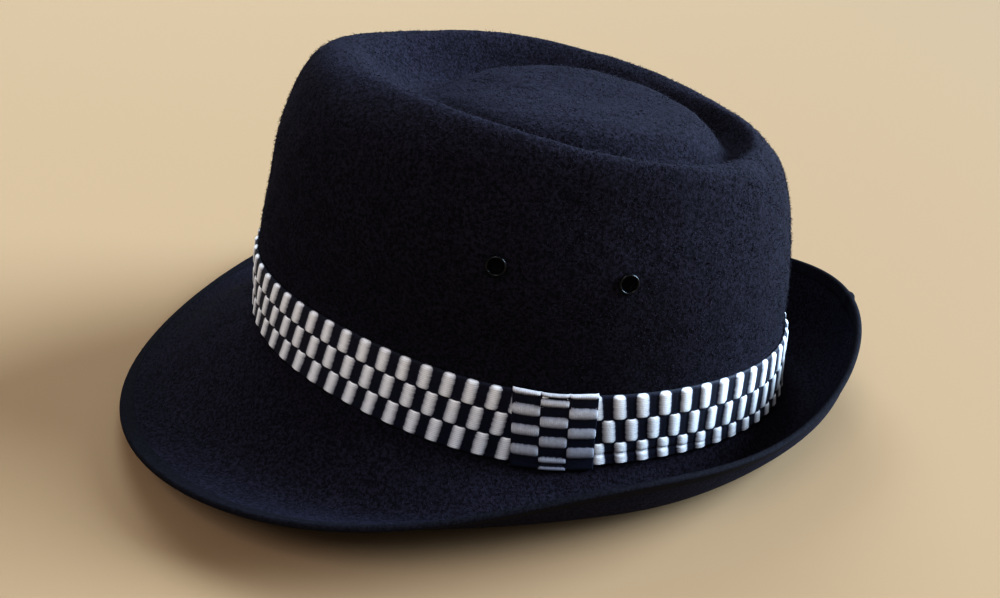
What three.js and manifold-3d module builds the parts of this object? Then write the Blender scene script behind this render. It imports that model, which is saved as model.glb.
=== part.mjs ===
// A felt hat with a dented teardrop crown and a brim that dips in front and turns up behind.
// It has a ribbon bound on the brim's edge, a ribbon band with a tab wrapped over its joint,
// and two metal vents on each side.
// Millimetres, +Z up. The front faces -Y and the hat's left side, with the tab, faces +X.

import * as THREE from "three";
import { mergeVertices } from "three/addons/utils/BufferGeometryUtils.js";
import Module from "manifold-3d";

// Thicknesses, and the gap kept between pieces that touch
const FELT_WALL = 2.0;
const FELT_EDGE_WALL = 1.4;
const RIBBON_WALL = 1.0;
const SEAT_GAP = 0.3;

// Ribbons: the tab is cut from the same ribbon as the band, so it is as wide as the band is tall
const BINDING_WIDTH = 4.5;
const TAB_WIDTH = 27;
const TAB_CENTRE_DEG = 98;
const TAB_LIP_GAP = 0.6;

// Vents: a clinched eyelet with a flange outside, a rolled lip inside and a screen across its bore
const VENT_BORE_RADIUS = 1.9;
const VENT_BARREL_RADIUS = 2.3;
const VENT_FLANGE_RADIUS = 3.2;
const VENT_LIP_RADIUS = 2.9;
const VENT_FLANGE_HEIGHT = 0.8;
const VENT_LIP_HEIGHT = 0.6;
const VENT_LIP_GAP = 0.5;
const VENT_SCREEN_DEPTH = 1.5;
const VENT_SCREEN_WALL = 0.4;
const VENT_CUT_LENGTH = 8;
const VENT_SIDES = 16;

// Where the vents sit: angle from the front, and place on the wall between two rings
const VENT_PLACES = [
  { name: "front", angleDeg: 84, between: ["upper", "mid"], share: 0.75 },
  { name: "back", angleDeg: 112, between: ["upper", "mid"], share: 0.86 },
];

// The outside of the felt is a stack of rings round an upright axis, from the tip of the crown
// to the brim's edge. Columns give the reach from the axis and the height over the floor,
// and steps is the number of rows of faces from a ring to the next one.
const TIP_HEIGHT = 114;
const TIP_STEPS = 2;

// Crown columns: front, brow, side, nape, back, 45 degrees apart
const CROWN_RINGS = [
  { name: "dome", steps: 3, reach: [27, 30, 39, 48, 57], height: [113, 114, 113, 110, 105] },
  { name: "groove", steps: 3, reach: [46, 46, 50, 59, 69], height: [111, 107, 105, 100, 95] },
  { name: "ridge", steps: 3, reach: [62, 58, 64, 70, 76], height: [126, 124, 118, 106, 102] },
  { name: "shoulder", steps: 3, reach: [74, 71, 69, 76, 84], height: [126, 118, 114, 106, 96] },
  { name: "upper", steps: 2, reach: [87, 80, 74, 81, 89], height: [108, 104, 99, 92, 87] },
  { name: "mid", steps: 2, reach: [95, 85, 78, 86, 94], height: [83, 80, 77, 72, 67] },
  { name: "bandTop", steps: 2, reach: [102, 87, 79, 88, 98], height: [58, 53, 43, 39, 34] },
  { name: "bandFoot", steps: 1, reach: [106, 91, 81, 88, 101], height: [32, 27, 16, 12, 8] },
];

// The crease where the crown turns into the brim, just past the foot of the band
const CREASE_OUT = 1;
const CREASE_DROP = 2;
const CREASE_STEPS = 3;

// Brim columns: front, brow, temple, side, ear, nape, back, 30 degrees apart
const BRIM_RINGS = [
  {
    name: "valley",
    steps: 4,
    reach: [122, 112, 100, 94, 94, 101, 113],
    height: [22, 17, 13, 10, 5.8, 1.8, 1.2],
  },
  {
    name: "turn",
    reach: [140, 130, 113, 101, 101, 110, 121.5],
    height: [11.5, 8, 8, 11, 13, 13, 15],
  },
  {
    name: "edge",
    reach: [158, 150.5, 134, 113, 109, 116.5, 123],
    height: [2.2, 10.5, 19.5, 26, 28, 30, 39.5],
  },
];

// Fineness of the surfaces, and the small steps that their directions are measured over
const STEPS_AROUND = 56;
const BAND_STEPS = 3;
const TAB_STEPS = 8;
const PROBE_TURN = 0.01;
const PROBE_STATION = 0.02;
const WELD_DISTANCE = 1e-4;

// Rings in order, each found by its station number
const bandFoot = CROWN_RINGS[CROWN_RINGS.length - 1];
const crease = {
  name: "crease",
  steps: CREASE_STEPS,
  reach: bandFoot.reach.map((value) => value + CREASE_OUT),
  height: bandFoot.height.map((value) => value - CREASE_DROP),
};
const tip = { name: "tip", steps: TIP_STEPS, reach: [0, 0], height: [TIP_HEIGHT, TIP_HEIGHT] };
const rings = [tip, ...CROWN_RINGS, crease, ...BRIM_RINGS];
const stationOf = Object.fromEntries(rings.map((ring, index) => [ring.name, index]));

// The value at an angle of a smooth curve through columns spread evenly from front to back:
// the sum of cosines that meets every column, the same on both sides of the hat.
function around(columns, angle) {
  const last = columns.length - 1;
  const endShare = (index) => (index === 0 || index === last ? 0.5 : 1);
  let value = 0;
  for (let wave = 0; wave <= last; wave++) {
    let weight = 0;
    for (let column = 0; column <= last; column++) {
      weight += endShare(column) * columns[column] * Math.cos((wave * column * Math.PI) / last);
    }
    value += ((2 * endShare(wave) * weight) / last) * Math.cos(wave * angle);
  }
  return value;
}

// One meridian of the felt: a spline from the tip to the edge at one angle from the front
const meridians = new Map();
function meridian(angle) {
  if (!meridians.has(angle)) {
    const points = rings.map((ring) => {
      const reach = around(ring.reach, angle);
      const height = around(ring.height, angle);
      return new THREE.Vector3(reach * Math.sin(angle), -reach * Math.cos(angle), height);
    });
    meridians.set(angle, new THREE.CatmullRomCurve3(points, false, "centripetal"));
  }
  return meridians.get(angle);
}

function feltPoint(angle, station) {
  return meridian(angle).getPoint(station / stationOf.edge);
}

// The felt's own directions at a place: along the meridian towards the edge, and out of the felt
function feltDirections(angle, station) {
  const inside = Math.max(station, PROBE_STATION);
  const along = feltPoint(angle, Math.min(inside + PROBE_STATION, stationOf.edge));
  along.sub(feltPoint(angle, inside - PROBE_STATION)).normalize();
  const across = feltPoint(angle + PROBE_TURN, inside);
  across.sub(feltPoint(angle - PROBE_TURN, inside));
  const out = new THREE.Vector3(0, 0, 1);
  if (station > 0) {
    out.crossVectors(along, across).normalize();
  }
  return { along, out };
}

// A point lifted off the outside of the felt and shifted along the meridian, never under the floor
function place(angle, { station, lift, shift = 0 }) {
  const { along, out } = feltDirections(angle, station);
  const point = feltPoint(angle, station).addScaledVector(out, lift).addScaledVector(along, shift);
  point.z = Math.max(point.z, 0);
  return point;
}

// One closed solid between an outer and an inner sheet of points, sheet[row][column].
// Rows run along the meridian. Columns run round the hat and may close on themselves.
// Each four-sided face is cut along its shorter diagonal, so sheets over each other stay parallel.
function closedShell(outer, inner, { wraps, startsAtTip = false }) {
  const rows = outer.length;
  const columns = outer[0].length;
  const points = [...outer.flat(), ...inner.flat()];
  const index = [];
  const outerAt = (row, column) => row * columns + (column % columns);
  const innerAt = (row, column) => rows * columns + outerAt(row, column);
  const quad = (a, b, c, d) => {
    if (points[b].distanceTo(points[c]) < points[a].distanceTo(points[d])) {
      index.push(a, b, c, b, d, c);
    } else {
      index.push(a, b, d, a, d, c);
    }
  };
  const spans = wraps ? columns : columns - 1;
  for (let column = 0; column < spans; column++) {
    const next = column + 1;
    for (let row = 0; row < rows - 1; row++) {
      const below = row + 1;
      quad(outerAt(row, column), outerAt(below, column), outerAt(row, next), outerAt(below, next));
      quad(innerAt(row, column), innerAt(row, next), innerAt(below, column), innerAt(below, next));
    }
    const end = rows - 1;
    quad(outerAt(end, column), innerAt(end, column), outerAt(end, next), innerAt(end, next));
    if (!startsAtTip) {
      quad(outerAt(0, column), outerAt(0, next), innerAt(0, column), innerAt(0, next));
    }
  }
  if (!wraps) {
    for (let row = 0; row < rows - 1; row++) {
      const below = row + 1;
      quad(outerAt(row, 0), innerAt(row, 0), outerAt(below, 0), innerAt(below, 0));
      quad(outerAt(row, spans), outerAt(below, spans), innerAt(row, spans), innerAt(below, spans));
    }
  }
  return welded(points.flatMap((point) => point.toArray()), index);
}

// A geometry with shared vertices merged and the faces that shrank to a line taken out
function welded(positions, index) {
  const loose = new THREE.BufferGeometry();
  loose.setAttribute("position", new THREE.Float32BufferAttribute(positions, 3));
  loose.setIndex(index);
  const geometry = mergeVertices(loose, WELD_DISTANCE);
  const faces = [];
  const corners = geometry.index.array;
  for (let start = 0; start < corners.length; start += 3) {
    const face = [corners[start], corners[start + 1], corners[start + 2]];
    if (new Set(face).size === 3) {
      faces.push(...face);
    }
  }
  geometry.setIndex(faces);
  return geometry;
}

// Evenly spread values, and the angles all the way round
function evenly(first, last, steps) {
  return Array.from({ length: steps + 1 }, (_, step) => first + ((last - first) * step) / steps);
}

const anglesRound = evenly(0, 2 * Math.PI, STEPS_AROUND).slice(0, STEPS_AROUND);

function sheet(path, angles) {
  return path.map((spot) => angles.map((angle) => place(angle, spot(angle))));
}

// Spots on a path may depend on the angle, so each one is a function of it
const at = (station, lift, shift = 0) => () => ({ station, lift, shift });

// Where the binding starts, its own width back from the edge
function bindingStation(angle) {
  const lastSpan = feltPoint(angle, stationOf.edge).distanceTo(feltPoint(angle, stationOf.turn));
  return stationOf.edge - BINDING_WIDTH / lastSpan;
}

// The felt: crown and brim in one hollow piece, a little thinner under the binding
function feltGeometry() {
  const pathOf = (lift, edgeLift) => {
    const path = [];
    rings.slice(0, stationOf.turn).forEach((ring, station) => {
      for (let step = 0; step < ring.steps; step++) {
        path.push(at(station + step / ring.steps, lift));
      }
    });
    path.push(at(stationOf.turn, lift));
    path.push((angle) => ({ station: (stationOf.turn + bindingStation(angle)) / 2, lift }));
    path.push((angle) => ({ station: bindingStation(angle), lift: edgeLift }));
    path.push(at(stationOf.edge, edgeLift));
    return path;
  };
  const outer = sheet(pathOf(0, 0), anglesRound);
  const inner = sheet(pathOf(-FELT_WALL, -FELT_EDGE_WALL), anglesRound);
  return closedShell(outer, inner, { wraps: true, startsAtTip: true });
}

// The binding: a ribbon folded over the felt's edge
function bindingGeometry() {
  const pathOf = (clear) => [
    (angle) => ({ station: bindingStation(angle), lift: clear }),
    at(stationOf.edge, clear),
    at(stationOf.edge, 0, clear),
    at(stationOf.edge, -FELT_EDGE_WALL, clear),
    at(stationOf.edge, -FELT_EDGE_WALL - clear),
    (angle) => ({ station: bindingStation(angle), lift: -FELT_EDGE_WALL - clear }),
  ];
  const outer = sheet(pathOf(SEAT_GAP + RIBBON_WALL), anglesRound);
  const inner = sheet(pathOf(SEAT_GAP), anglesRound);
  return closedShell(outer, inner, { wraps: true });
}

// Stations down the band, from its top edge to its foot
const bandStations = evenly(stationOf.bandTop, stationOf.bandFoot, BAND_STEPS);

// The band: a ribbon ring that lies on the crown's wall
function bandGeometry() {
  const pathOf = (lift) => bandStations.map((station) => at(station, lift));
  const outer = sheet(pathOf(SEAT_GAP + RIBBON_WALL), anglesRound);
  const inner = sheet(pathOf(SEAT_GAP), anglesRound);
  return closedShell(outer, inner, { wraps: true });
}

// The tab: a ribbon over the band's outside, turned in over its top edge and under its foot
function tabGeometry() {
  const overBand = SEAT_GAP + RIBBON_WALL + SEAT_GAP;
  const pathOf = (thickness) => [
    at(stationOf.bandTop, TAB_LIP_GAP, -SEAT_GAP - thickness),
    at(stationOf.bandTop, overBand + thickness, -SEAT_GAP - thickness),
    ...bandStations.map((station) => at(station, overBand + thickness)),
    at(stationOf.bandFoot, overBand + thickness, SEAT_GAP + thickness),
    at(stationOf.bandFoot, TAB_LIP_GAP, SEAT_GAP + thickness),
  ];
  const centre = THREE.MathUtils.degToRad(TAB_CENTRE_DEG);
  const halfTurn = TAB_WIDTH / 2 / around(bandFoot.reach, centre);
  const angles = evenly(centre - halfTurn, centre + halfTurn, TAB_STEPS);
  const outer = sheet(pathOf(RIBBON_WALL), angles);
  const inner = sheet(pathOf(0), angles);
  return closedShell(outer, inner, { wraps: false });
}

// A vent: its half section from axis to axis, turned about the axis, which points out of the felt
function ventGeometry() {
  const back = -FELT_WALL - VENT_LIP_GAP;
  const flangeTop = SEAT_GAP + VENT_FLANGE_HEIGHT;
  const beadRadius = (VENT_BARREL_RADIUS + VENT_FLANGE_RADIUS) / 2;
  const screenBack = -VENT_SCREEN_DEPTH - VENT_SCREEN_WALL;
  const profile = [
    [0, screenBack],
    [VENT_BORE_RADIUS, screenBack],
    [VENT_BORE_RADIUS, back - VENT_LIP_HEIGHT],
    [VENT_LIP_RADIUS, back - VENT_LIP_HEIGHT],
    [VENT_LIP_RADIUS, back],
    [VENT_BARREL_RADIUS, back],
    [VENT_BARREL_RADIUS, SEAT_GAP],
    [VENT_FLANGE_RADIUS, SEAT_GAP],
    [beadRadius, flangeTop],
    [VENT_BARREL_RADIUS, flangeTop],
    [VENT_BORE_RADIUS, SEAT_GAP],
    [VENT_BORE_RADIUS, -VENT_SCREEN_DEPTH],
    [0, -VENT_SCREEN_DEPTH],
  ];
  const points = profile.map(([radius, height]) => new THREE.Vector2(radius, height));
  const turned = new THREE.LatheGeometry(points, VENT_SIDES);
  return welded(Array.from(turned.attributes.position.array), Array.from(turned.index.array));
}

// Where each vent sits, on both sides of the hat
function ventSpots() {
  const spots = [];
  for (const { name, angleDeg, between, share } of VENT_PLACES) {
    const [above, below] = between.map((ring) => stationOf[ring]);
    const station = above + share * (below - above);
    for (const [side, sign] of [["left", 1], ["right", -1]]) {
      const angle = sign * THREE.MathUtils.degToRad(angleDeg);
      const { out } = feltDirections(angle, station);
      spots.push({ name: `vent_${side}_${name}`, point: feltPoint(angle, station), out });
    }
  }
  return spots;
}

function turnTo(object, { point, out }) {
  object.position.copy(point);
  object.quaternion.setFromUnitVectors(new THREE.Vector3(0, 1, 0), out);
  object.updateMatrix();
  return object;
}

// Boolean cutting of the vent holes
const wasm = await Module();
wasm.setup();

function toSolid(geometry) {
  const vertProperties = new Float32Array(geometry.attributes.position.array);
  const triVerts = new Uint32Array(geometry.index.array);
  return new wasm.Manifold(new wasm.Mesh({ numProp: 3, vertProperties, triVerts }));
}

function fromSolid(solid) {
  const mesh = solid.getMesh();
  return welded(Array.from(mesh.vertProperties), Array.from(mesh.triVerts));
}

function holeGeometry(spot) {
  const radius = VENT_BARREL_RADIUS + SEAT_GAP;
  const cylinder = new THREE.CylinderGeometry(radius, radius, VENT_CUT_LENGTH, VENT_SIDES);
  cylinder.applyMatrix4(turnTo(new THREE.Object3D(), spot).matrix);
  return welded(Array.from(cylinder.attributes.position.array), Array.from(cylinder.index.array));
}

function feltWithHoles() {
  let solid = toSolid(feltGeometry());
  for (const spot of ventSpots()) {
    solid = solid.subtract(toSolid(holeGeometry(spot)));
  }
  return fromSolid(solid);
}

// Materials
const felt = { color: 0x0d0e1c, roughness: 0.95, metalness: 0 };
const bindingRibbon = { color: 0x15171f, roughness: 0.7, metalness: 0 };
const chequeredRibbon = { color: 0x8b8b8d, roughness: 0.6, metalness: 0 };
const blackEnamel = { color: 0x08080a, roughness: 0.3, metalness: 0.4 };

function piece(name, geometry, finish) {
  geometry.computeVertexNormals();
  const mesh = new THREE.Mesh(geometry, new THREE.MeshStandardMaterial(finish));
  mesh.name = name;
  return mesh;
}

// The hat, with its origin on the floor under the middle of its outline
const hat = new THREE.Group();
hat.add(piece("felt_body", feltWithHoles(), felt));
hat.add(piece("brim_binding", bindingGeometry(), bindingRibbon));
hat.add(piece("hat_band", bandGeometry(), chequeredRibbon));
hat.add(piece("band_tab", tabGeometry(), chequeredRibbon));
for (const spot of ventSpots()) {
  hat.add(turnTo(piece(spot.name, ventGeometry(), blackEnamel), spot));
}
const outline = new THREE.Box3().setFromObject(hat);
const middle = outline.getCenter(new THREE.Vector3());
hat.position.set(-middle.x, -middle.y, -outline.min.z);

export default hat;
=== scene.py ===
# %% [markdown]
# # A felt hat with a chequered ribbon band
#
# The hat is one piece of dark wool felt, pressed over a block into a crown and a brim. A narrow ribbon
# binds the brim's edge, a chequered ribbon runs round the crown, a short length of the same ribbon
# covers the band's joint, and small metal vents pierce the crown. The frame holds a plain solid for each
# of these. The steps below make the finished surface of each piece, in the place of its solid, and then
# its colour and gloss.

import math

import bpy
import numpy as np
from mathutils import Matrix, Vector


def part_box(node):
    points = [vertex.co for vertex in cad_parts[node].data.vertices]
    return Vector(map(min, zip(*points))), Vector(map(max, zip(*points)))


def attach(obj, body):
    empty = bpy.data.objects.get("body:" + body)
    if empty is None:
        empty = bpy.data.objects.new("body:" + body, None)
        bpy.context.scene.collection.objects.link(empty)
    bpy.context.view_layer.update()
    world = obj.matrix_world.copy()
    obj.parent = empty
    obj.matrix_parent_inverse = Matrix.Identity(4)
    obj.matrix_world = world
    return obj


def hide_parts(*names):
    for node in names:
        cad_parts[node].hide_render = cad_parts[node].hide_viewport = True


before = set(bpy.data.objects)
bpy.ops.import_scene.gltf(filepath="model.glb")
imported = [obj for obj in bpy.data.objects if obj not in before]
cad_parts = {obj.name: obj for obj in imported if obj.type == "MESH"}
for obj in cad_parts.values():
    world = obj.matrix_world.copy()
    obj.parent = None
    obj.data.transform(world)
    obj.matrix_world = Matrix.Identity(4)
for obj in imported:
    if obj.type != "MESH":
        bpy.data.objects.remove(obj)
scene = bpy.context.scene
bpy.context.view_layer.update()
MM = 0.001

# %% [markdown]
# ## The shape of the felt
#
# A blocked hat could be sculpted, or cut from a subdivided cylinder. Here it is worked out instead: the
# hat is a stack of rings round an upright axis, and each ring needs only its reach from the axis and its
# height in a few directions. A sum of cosines carries these values smoothly round the head, the same on
# both sides, and a spline joins the rings from the tip of the crown to the brim's edge. Any point of the
# felt then has two numbers: its station, which counts the rings, and its angle from the front.

# %% Rings from the tip to the edge
# Each ring: reach from the axis, then height over the floor, in mm. The tip has only front and back.
# Crown columns, 45 degrees apart: front, brow, side, nape, back.
# Brim columns, 30 degrees apart: front, brow, temple, side, ear, nape, back.
FELT_RINGS = {
    "tip": ([0, 0], [114, 114]),
    "dome": ([27, 30, 39, 48, 57], [113, 114, 113, 110, 105]),
    "groove": ([46, 46, 50, 59, 69], [111, 107, 105, 100, 95]),
    "ridge": ([62, 58, 64, 70, 76], [126, 124, 118, 106, 102]),
    "shoulder": ([74, 71, 69, 76, 84], [126, 118, 114, 106, 96]),
    "upper": ([87, 80, 74, 81, 89], [108, 104, 99, 92, 87]),
    "mid": ([95, 85, 78, 86, 94], [83, 80, 77, 72, 67]),
    "band_top": ([102, 87, 79, 88, 98], [58, 53, 43, 39, 34]),
    "band_foot": ([106, 91, 81, 88, 101], [32, 27, 16, 12, 8]),
    "crease": ([107, 92, 82, 89, 102], [30, 25, 14, 10, 6]),
    "valley": ([122, 112, 100, 94, 94, 101, 113], [22, 17, 13, 10, 5.8, 1.8, 1.2]),
    "turn": ([140, 130, 113, 101, 101, 110, 121.5], [11.5, 8, 8, 11, 13, 13, 15]),
    "edge": ([158, 150.5, 134, 113, 109, 116.5, 123], [2.2, 10.5, 19.5, 26, 28, 30, 39.5]),
}
STATION = {name: number for number, name in enumerate(FELT_RINGS)}
FRONT_REACH = FELT_RINGS["edge"][0][0]
AXIS_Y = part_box("felt_body")[0].y / MM + FRONT_REACH
print("rings:", len(FELT_RINGS), " axis lies", round(AXIS_Y, 2), "mm behind the middle of the hat")


# %% Rings at any angle
def around(columns, angle):
    """Values at any angle: the sum of cosines of whole multiples of the angle that meets each column."""
    last = len(columns) - 1
    wave = np.arange(last + 1)
    share = np.where((wave == 0) | (wave == last), 0.5, 1.0)
    weight = (np.cos(np.outer(wave, wave) * np.pi / last) * share) @ np.asarray(columns, float) * 2 / last
    return np.cos(np.multiply.outer(angle, wave)) @ (weight * share)


def ring_points(angle):
    """Each ring's point at each angle: reach times sine and minus cosine of the angle, then the height."""
    reach = np.array([around(columns, angle) for columns, _ in FELT_RINGS.values()])
    height = np.array([around(columns, angle) for _, columns in FELT_RINGS.values()])
    return np.stack([reach * np.sin(angle), -reach * np.cos(angle), height], axis=-1)


print("foot of the band is", round(2 * math.pi * np.mean(FELT_RINGS["band_foot"][0])), "mm round")


# %% Points of the felt
def felt_point(station, angle):
    """A spline through the rings: cubic between two of them, with knots spaced by the square root of the
    chord, and at each ring the slope of the parabola through it and its two neighbours."""
    station, angle = np.broadcast_arrays(station, angle)
    ring = ring_points(angle.ravel())
    chord = np.diff(ring, axis=0)
    knot = np.sqrt(np.linalg.norm(chord, axis=-1, keepdims=True))
    slope = chord / knot
    inner_slope = (slope[:-1] * knot[1:] + slope[1:] * knot[:-1]) / (knot[:-1] + knot[1:])
    tangent = np.concatenate([slope[:1], inner_slope, slope[-1:]])
    first = np.clip(np.floor(station).astype(int), 0, len(ring) - 2).ravel()
    each = np.arange(first.size)
    u = (station.ravel() - first)[:, None]
    start = ring[first, each] * (1 + 2 * u) + tangent[first, each] * knot[first, each] * u
    end = ring[first + 1, each] * (3 - 2 * u) + tangent[first + 1, each] * knot[first, each] * (u - 1)
    return (start * (1 - u) ** 2 + end * u**2).reshape(*station.shape, 3)


# Small steps for measuring directions, in stations and in radians.
SMALL_STATION, SMALL_TURN = 0.02, 0.01
SHORTEST = 1e-12
UPWARD = np.array([0.0, 0.0, 1.0])


def unit(vectors):
    """Each vector divided by its length."""
    return vectors / np.maximum(np.linalg.norm(vectors, axis=-1, keepdims=True), SHORTEST)


def felt_directions(station, angle):
    """Along: from a little above to a little below on the meridian. Out: along crossed with the way round."""
    inside = np.maximum(station, SMALL_STATION)
    above = felt_point(inside - SMALL_STATION, angle)
    along = unit(felt_point(np.minimum(inside + SMALL_STATION, STATION["edge"]), angle) - above)
    across = felt_point(inside, angle + SMALL_TURN) - felt_point(inside, angle - SMALL_TURN)
    out = unit(np.cross(along, across))
    return along, np.where((station > 0)[..., None], out, UPWARD)


def place(station, angle, lift=0.0, shift=0.0):
    """The felt's point plus lift times out plus shift times along, kept over the floor. In metres."""
    station, angle, lift, shift = np.broadcast_arrays(station, angle, lift, shift)
    along, out = felt_directions(station, angle)
    point = felt_point(station, angle) + out * lift[..., None] + along * shift[..., None]
    point[..., 1] += AXIS_Y
    point[..., 2] = np.maximum(point[..., 2], 0)
    return point * MM


at_side = np.array([math.pi / 2])
print("crown height at the side, mm:", round(place(STATION["ridge"], at_side)[0, 2] / MM, 1))

# %% [markdown]
# ## From grids to meshes
#
# Every piece but the nap is a grid of points: rows run along a profile, columns run round or across it. A
# wall with thickness is one grid too, because its rows go down the outside and come back up the inside.
# Bent primitives could serve too, but a helper that turns a grid into faces, and one that closes a tube
# with a fan at each end, fit felt, ribbon and metal alike.


# %% Faces of a grid
RIBBON_UV = "ribbon"


def grid_faces(rows, columns, close_rows, close_columns):
    """Four corners a face, in the order that makes row direction crossed with column direction point out."""
    row = np.arange(rows if close_rows else rows - 1)[:, None]
    column = np.arange(columns if close_columns else columns - 1)[None, :]
    below, beside = (row + 1) % rows, (column + 1) % columns
    corner = np.broadcast_arrays(
        row * columns + column, below * columns + column, below * columns + beside, row * columns + beside
    )
    return np.stack(corner, axis=-1).reshape(-1, 4)


def capped_faces(rows, columns):
    """A tube of rows, closed at each end by a fan to a pole. The two poles are numbered after the grid."""
    column = np.arange(columns)
    beside = (column + 1) % columns
    last_row = (rows - 1) * columns
    pole = np.full(columns, rows * columns)
    first_fan = np.stack([pole, column, beside], axis=-1)
    last_fan = np.stack([last_row + column, pole + 1, last_row + beside], axis=-1)
    return [*grid_faces(rows, columns, False, True), *first_fan, *last_fan]


def grid_corners(v, u):
    """Ribbon coordinates of the same corners: v has one value more than the rows of faces, u than columns."""
    high, low = v[:-1, None], v[1:, None]
    left, right = u[None, :-1], u[None, 1:]
    corner = [np.broadcast_arrays(left, high), np.broadcast_arrays(left, low)]
    corner += [np.broadcast_arrays(right, low), np.broadcast_arrays(right, high)]
    return np.stack([np.stack(pair, axis=-1) for pair in corner], axis=-2).reshape(-1, 2)


def add_object(name, data):
    """A new object in the scene, with that mesh, lamp or camera."""
    added = bpy.data.objects.new(name, data)
    scene.collection.objects.link(added)
    return added


def make_piece(name, points, faces, stands_for, ribbon_uv=None):
    """Puts points and faces into a smooth mesh in the frame, hangs it from the root, and hides the solids
    that it stands for.
    """
    mesh = bpy.data.meshes.new(name)
    mesh.from_pydata(points.reshape(-1, 3), [], [face.tolist() for face in faces])
    if ribbon_uv is not None:
        layer = mesh.uv_layers.new(name=RIBBON_UV)
        layer.data.foreach_set("uv", ribbon_uv.astype(np.float32).ravel())
    mesh.polygons.foreach_set("use_smooth", np.ones(len(mesh.polygons), bool))
    mesh.update()
    piece = add_object(name, mesh)
    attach(piece, "root")
    for node in stands_for:
        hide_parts(node)
    print(name, "has", len(mesh.vertices), "points and", len(mesh.polygons), "faces")
    return piece


# %% [markdown]
# ## Felt body
#
# Felt of this kind is about 2 mm thick. A Solidify modifier could thicken a single sheet, but the brim
# must lie flat on the floor, so both faces are worked out: the outside at lift 0, the inside one wall
# below it and never under the floor. Waves of a few tenths of a millimetre keep the outside from looking
# machined, as hand-blocked felt never is.


# %% Felt grid and lumps
FELT_ROWS, FELT_COLUMNS, FINE_STEPS = 146, 288, 2000
# Height and wavelength in mm, then the seed of the directions.
SLOW_LUMPS, QUICK_LUMPS = (0.35, 14, 5), (0.2, 5, 6)
LUMP_WAVES, WAVELENGTH_FROM, WAVELENGTH_TO = 8, 0.7, 1.4


def lengths(line):
    """Distance along a line of points, from 0 at its first one."""
    return np.append(0, np.cumsum(np.linalg.norm(np.diff(line, axis=0), axis=-1)))


def even_stations(count):
    """Stations spread evenly by length along the meridian of the hat's side."""
    fine = np.linspace(0, STATION["edge"], FINE_STEPS)
    length = lengths(felt_point(fine[:, None], at_side)[:, 0])
    return np.interp(np.linspace(0, length[-1], count), length, fine)


def lumps(points, height, wavelength, seed):
    """Mean of a few plane waves of nearly that wavelength, in directions drawn from a seeded generator."""
    chance = np.random.default_rng(seed)
    heading = unit(chance.normal(size=(LUMP_WAVES, 3)))
    spread = chance.uniform(WAVELENGTH_FROM, WAVELENGTH_TO, (LUMP_WAVES, 1))
    wave = heading * 2 * np.pi / (wavelength * MM * spread)
    phase = chance.uniform(0, 2 * np.pi, LUMP_WAVES)
    return height * np.sin(points @ wave.T + phase).sum(axis=-1) / LUMP_WAVES


round_angles = np.arange(FELT_COLUMNS) * 2 * np.pi / FELT_COLUMNS
felt_stations = even_stations(FELT_ROWS)[1:, None]
even_felt = place(felt_stations, round_angles)
unevenness = lumps(even_felt, *SLOW_LUMPS) + lumps(even_felt, *QUICK_LUMPS)
print("lumps stay within", round(np.abs(unevenness).max(), 2), "mm")


# %% Felt outside and inside
FELT_WALL, FELT_EDGE_WALL, BINDING_WIDTH = 2.0, 1.4, 4.5


def binding_station(angle):
    """Station where the binding starts: its width back from the edge, on the last stretch of the brim."""
    last_stretch = felt_point(STATION["edge"], angle) - felt_point(STATION["turn"], angle)
    return STATION["edge"] - BINDING_WIDTH / np.linalg.norm(last_stretch, axis=-1)


to_binding = binding_station(round_angles) - STATION["turn"]
thinning = np.clip((felt_stations - STATION["turn"]) / to_binding, 0, 1)
wall = FELT_WALL + (FELT_EDGE_WALL - FELT_WALL) * thinning
felt_outside = place(felt_stations, round_angles, unevenness * (1 - thinning))
felt_inside = place(felt_stations, round_angles, -wall)[::-1]
felt_skin = np.concatenate([felt_outside, felt_inside]).reshape(-1, 3)
tips = place(0, np.zeros(2), np.array([0, -FELT_WALL]))
felt_faces = capped_faces(2 * (FELT_ROWS - 1), FELT_COLUMNS)
felt_points = np.concatenate([felt_skin, tips])
felt = make_piece("felt_crown_and_brim", felt_points, felt_faces, ["felt_body"])

# %% [markdown]
# ## Vent holes and vents
#
# A vent is a black metal eyelet, clinched through a punched hole, with a plain screen across its bore. A
# dark disc on the felt could stand for it, but a real hole gives the felt a cut edge round the barrel, so
# short cylinders are taken out of the felt by a Boolean modifier, which is applied at once. The eyelet is
# a turned profile: a rounded flange outside, a barrel through the felt, and a rolled lip inside.

# %% Vent places and profile
# Radii of the eyelet, then heights over the outside of the felt, in mm.
VENT_BORE, VENT_BARREL, VENT_FLANGE, VENT_LIP = 1.9, 2.3, 3.2, 2.9
BEAD_FOOT, BEAD_RISE, BARREL_TOP, BORE_TOP = 0.3, 0.75, 0.25, -0.4
LIP_GAP, LIP_DROP = 0.5, 0.6
VENT_SCREEN_DEPTH, VENT_SCREEN_WALL = 1.5, 0.4
VENT_SIDES, BEAD_STEPS = 40, 13


def turned(profile, centre, out):
    """A profile of radius and height, carried round the axis out through centre."""
    turn = np.arange(VENT_SIDES) * 2 * np.pi / VENT_SIDES
    first = unit(np.cross(out, UPWARD))
    second = np.cross(out, first)
    spoke = np.cos(turn)[:, None] * first + np.sin(turn)[:, None] * second
    radius, height = profile[:, 0, None, None], profile[:, 1, None, None]
    return centre + (radius * spoke + height * out) * MM


def half_ellipse(first, last, foot, rise):
    """From one radius to another over half an ellipse, which stands on the foot's height by the rise."""
    bend = np.linspace(0, np.pi, BEAD_STEPS)
    radius = (last + first) / 2 - (last - first) / 2 * np.cos(bend)
    return np.stack([radius, foot + rise * np.sin(bend)], axis=-1)


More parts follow.
